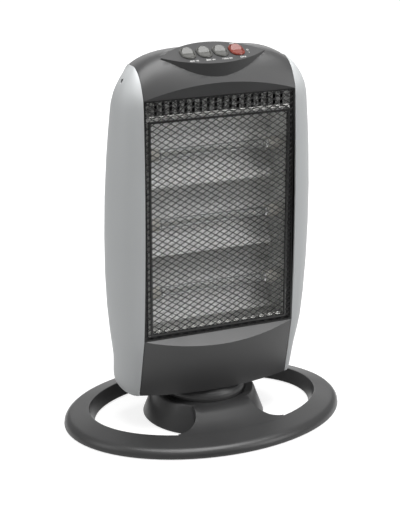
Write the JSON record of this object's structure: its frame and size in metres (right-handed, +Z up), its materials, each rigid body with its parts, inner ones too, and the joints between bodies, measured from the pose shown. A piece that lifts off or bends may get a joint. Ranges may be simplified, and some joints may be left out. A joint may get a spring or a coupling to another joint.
{
  "type": "halogen heater",
  "caption": "Upright halogen heater with quartz lamps behind a diamond wire guard, rocker switches on top, swivelling on an open oval base.",
  "frame": {"origin": "on the floor, at the middle of the oval base, under the swivel axis", "axes": "+X to the right seen from the front, +Y to the back, +Z up along the swivel axis"},
  "size_m": [0.34, 0.249, 0.4453],
  "materials": {
    "dark_grey_plastic": "satin injection-moulded plastic, charcoal grey",
    "silver_plastic": "silver painted plastic with a fine metallic satin gloss",
    "black_plastic": "matte black plastic",
    "white_plastic": "natural white acetal and nylon",
    "light_grey_plastic": "glossy light grey plastic",
    "red_plastic": "translucent red plastic",
    "zinc_steel": "zinc-plated sheet steel",
    "black_steel": "blackened steel screws",
    "polished_aluminium": "bright polished aluminium sheet",
    "black_wire": "black coated steel wire",
    "quartz_glass": "clear quartz tube",
    "filament_metal": "tungsten heating coil",
    "lamp_ceramic": "unglazed white steatite ceramic",
    "foot_rubber": "black rubber"
  },
  "bodies": {
    "base": {"base_shell": "dark_grey_plastic", "base_cover": "black_plastic", "cover_screws": "zinc_steel", "base_feet": "foot_rubber", "slide_ring": "white_plastic", "crank_guide": "white_plastic"},
    "head": {"turntable": "dark_grey_plastic", "spigot_washer": "zinc_steel", "spigot_screw": "zinc_steel", "floor_pan": "dark_grey_plastic", "swivel_motor": "zinc_steel", "tip_switch": "black_plastic", "terminal_block": "white_plastic", "cord_gland": "black_plastic", "left_side_panel": "silver_plastic", "right_side_panel": "silver_plastic", "upper_fascia": "dark_grey_plastic", "lower_fascia": "dark_grey_plastic", "back_cover": "dark_grey_plastic", "inner_frame": "black_plastic", "vent_plate": "polished_aluminium", "reflector": "polished_aluminium", "reflector_ends": "polished_aluminium", "mesh_guard": "black_wire", "lamp_tube_1": "quartz_glass", "lamp_tube_2": "quartz_glass", "lamp_tube_3": "quartz_glass", "lamp_filaments": "filament_metal", "lamp_caps": "lamp_ceramic", "lamp_brackets": "zinc_steel", "thermal_cutout": "zinc_steel", "heat_shield": "zinc_steel", "switch_case_1": "light_grey_plastic", "switch_case_2": "light_grey_plastic", "switch_case_3": "light_grey_plastic", "switch_case_4": "red_plastic", "housing_screws": "black_steel"},
    "crank": {"crank_arm": "white_plastic"},
    "rocker_1": {"rocker_1": "light_grey_plastic"},
    "rocker_2": {"rocker_2": "light_grey_plastic"},
    "rocker_3": {"rocker_3": "light_grey_plastic"},
    "rocker_4": {"rocker_4": "red_plastic"}
  },
  "joints": [
    {"name": "swivel", "type": "hinge", "parent": "base", "child": "head", "pos_m": [0, 0, 0.033], "axis": [0, 0, 1], "range_deg": [-29, 29]},
    {"name": "crank_turn", "type": "hinge", "parent": "head", "child": "crank", "pos_m": [0, 0.0245, 0.04], "axis": [0, 0, 1], "continuous": true},
    {"name": "rocker_1_tip", "type": "hinge", "parent": "head", "child": "rocker_1", "pos_m": [-0.0288, -0.02376, 0.43683], "axis": [1, 0, 0], "range_deg": [-18, 0]},
    {"name": "rocker_2_tip", "type": "hinge", "parent": "head", "child": "rocker_2", "pos_m": [-0.0096, -0.02376, 0.43683], "axis": [1, 0, 0], "range_deg": [-18, 0]},
    {"name": "rocker_3_tip", "type": "hinge", "parent": "head", "child": "rocker_3", "pos_m": [0.0096, -0.02376, 0.43683], "axis": [1, 0, 0], "range_deg": [-18, 0]},
    {"name": "rocker_4_tip", "type": "hinge", "parent": "head", "child": "rocker_4", "pos_m": [0.0288, -0.02376, 0.43683], "axis": [1, 0, 0], "range_deg": [-18, 0]}
  ]
}
